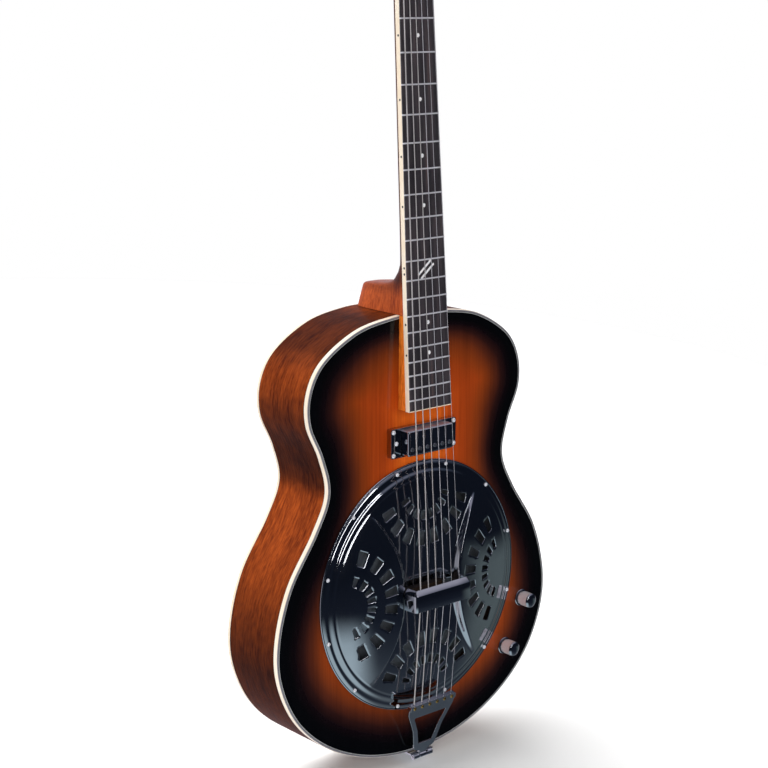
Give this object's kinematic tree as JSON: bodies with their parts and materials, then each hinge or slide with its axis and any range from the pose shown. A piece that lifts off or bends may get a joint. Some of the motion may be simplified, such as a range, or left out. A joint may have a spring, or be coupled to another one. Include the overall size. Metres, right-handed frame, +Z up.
{
  "type": "resonator guitar",
  "caption": "Upright resonator guitar: waisted wooden body, spun cone under a domed chrome coverplate, bound fretted neck, trapeze tailpiece, pickup, control knobs and geared tuners.",
  "frame": {"origin": "centre of the end pin's outer flat face, at the bottom of the body", "axes": "+Z up along the neck's centre line, -Y out of the front, +X to the treble side"},
  "size_m": [0.3686, 0.118, 0.9887],
  "materials": {
    "sunburst": "gloss lacquer, dark burst edge",
    "mahogany": "gloss lacquer",
    "binding": "gloss",
    "rosewood": "oiled",
    "spruce": "bare",
    "maple": "bare",
    "bone": "polished",
    "chrome": "mirror",
    "aluminium": "spun",
    "steel": "bright",
    "bronze": "wound",
    "brass": "machined",
    "black_plastic": "gloss"
  },
  "bodies": {
    "guitar": {"top_plate": "sunburst", "back_plate": "mahogany", "rim_bass_side": "mahogany", "rim_treble_side": "mahogany", "top_binding": "binding", "back_binding": "binding", "top_lining": "maple", "back_lining": "maple", "back_brace_upper": "spruce", "back_brace_lower": "spruce", "neck_block": "mahogany", "tail_block": "mahogany", "neck": "mahogany", "fretboard": "rosewood", "fretboard_riser": "mahogany", "nut": "bone", "truss_rod": "steel", "truss_rod_cover": "black_plastic", "soundwell": "maple", "cone": "aluminium", "biscuit": "maple", "saddle": "maple", "coverplate": "chrome", "palm_rest": "chrome", "tailpiece_bracket": "chrome", "hinge_pin": "steel", "tailpiece": "chrome", "end_pin": "chrome", "pickup_surround": "chrome", "volume_pot": "steel", "tone_pot": "steel", "output_jack": "chrome", "tuner_plate_bass": "chrome", "tuner_plate_treble": "chrome", "string_e_low": "bronze", "string_a": "bronze", "string_d": "bronze", "string_g": "steel", "string_b": "steel", "string_e_high": "steel"},
    "pickup": {"pickup_cover": "chrome", "pickup_pole_rail": "steel", "pickup_coil": "black_plastic"},
    "volume_control": {"volume_knob": "chrome", "volume_shaft": "aluminium"},
    "tone_control": {"tone_knob": "chrome", "tone_shaft": "aluminium"},
    "post_bass_1": {"tuner_post_bass_1": "brass"},
    "button_bass_1": {"tuner_button_bass_1": "chrome"},
    "post_bass_2": {"tuner_post_bass_2": "brass"},
    "button_bass_2": {"tuner_button_bass_2": "chrome"},
    "post_bass_3": {"tuner_post_bass_3": "brass"},
    "button_bass_3": {"tuner_button_bass_3": "chrome"},
    "post_treble_1": {"tuner_post_treble_1": "brass"},
    "button_treble_1": {"tuner_button_treble_1": "chrome"},
    "post_treble_2": {"tuner_post_treble_2": "brass"},
    "button_treble_2": {"tuner_button_treble_2": "chrome"},
    "post_treble_3": {"tuner_post_treble_3": "brass"},
    "button_treble_3": {"tuner_button_treble_3": "chrome"}
  },
  "joints": [
    {"name": "pickup_height", "type": "slide", "parent": "guitar", "child": "pickup", "axis": [0, -1, 0], "range_m": [-0.0025, 0.0015]},
    {"name": "volume_turn", "type": "hinge", "parent": "guitar", "child": "volume_control", "pos_m": [0.1475, -0.05, 0.1436], "axis": [0, -1, 0], "range_deg": [-150, 150]},
    {"name": "tone_turn", "type": "hinge", "parent": "guitar", "child": "tone_control", "pos_m": [0.123, -0.05, 0.095], "axis": [0, -1, 0], "range_deg": [-150, 150]},
    {"name": "post_bass_1_turn", "type": "hinge", "parent": "guitar", "child": "post_bass_1", "pos_m": [-0.022, -0.01481, 0.87516], "axis": [0, -0.9703, 0.2419], "continuous": true},
    {"name": "button_bass_1_turn", "type": "hinge", "parent": "guitar", "child": "button_bass_1", "pos_m": [-0.04, 0.00692, 0.87964], "axis": [-1, 0, 0], "continuous": true},
    {"name": "post_bass_2_turn", "type": "hinge", "parent": "guitar", "child": "post_bass_2", "pos_m": [-0.022, -0.0061, 0.91009], "axis": [0, -0.9703, 0.2419], "continuous": true},
    {"name": "button_bass_2_turn", "type": "hinge", "parent": "guitar", "child": "button_bass_2", "pos_m": [-0.04, 0.01562, 0.91457], "axis": [-1, 0, 0], "continuous": true},
    {"name": "post_bass_3_turn", "type": "hinge", "parent": "guitar", "child": "post_bass_3", "pos_m": [-0.022, 0.00261, 0.94503], "axis": [0, -0.9703, 0.2419], "continuous": true},
    {"name": "button_bass_3_turn", "type": "hinge", "parent": "guitar", "child": "button_bass_3", "pos_m": [-0.04, 0.02433, 0.9495], "axis": [-1, 0, 0], "continuous": true},
    {"name": "post_treble_1_turn", "type": "hinge", "parent": "guitar", "child": "post_treble_1", "pos_m": [0.022, -0.01481, 0.87516], "axis": [0, -0.9703, 0.2419], "continuous": true},
    {"name": "button_treble_1_turn", "type": "hinge", "parent": "guitar", "child": "button_treble_1", "pos_m": [0.04, 0.00692, 0.87964], "axis": [1, 0, 0], "continuous": true},
    {"name": "post_treble_2_turn", "type": "hinge", "parent": "guitar", "child": "post_treble_2", "pos_m": [0.022, -0.0061, 0.91009], "axis": [0, -0.9703, 0.2419], "continuous": true},
    {"name": "button_treble_2_turn", "type": "hinge", "parent": "guitar", "child": "button_treble_2", "pos_m": [0.04, 0.01562, 0.91457], "axis": [1, 0, 0], "continuous": true},
    {"name": "post_treble_3_turn", "type": "hinge", "parent": "guitar", "child": "post_treble_3", "pos_m": [0.022, 0.00261, 0.94503], "axis": [0, -0.9703, 0.2419], "continuous": true},
    {"name": "button_treble_3_turn", "type": "hinge", "parent": "guitar", "child": "button_treble_3", "pos_m": [0.04, 0.02433, 0.9495], "axis": [1, 0, 0], "continuous": true}
  ],
  "couplings": [
    {"joint": "post_bass_1_turn", "follows": "button_bass_1_turn", "ratio": 0.066667},
    {"joint": "post_bass_2_turn", "follows": "button_bass_2_turn", "ratio": 0.066667},
    {"joint": "post_bass_3_turn", "follows": "button_bass_3_turn", "ratio": 0.066667},
    {"joint": "post_treble_1_turn", "follows": "button_treble_1_turn", "ratio": 0.066667},
    {"joint": "post_treble_2_turn", "follows": "button_treble_2_turn", "ratio": 0.066667},
    {"joint": "post_treble_3_turn", "follows": "button_treble_3_turn", "ratio": 0.066667}
  ]
}
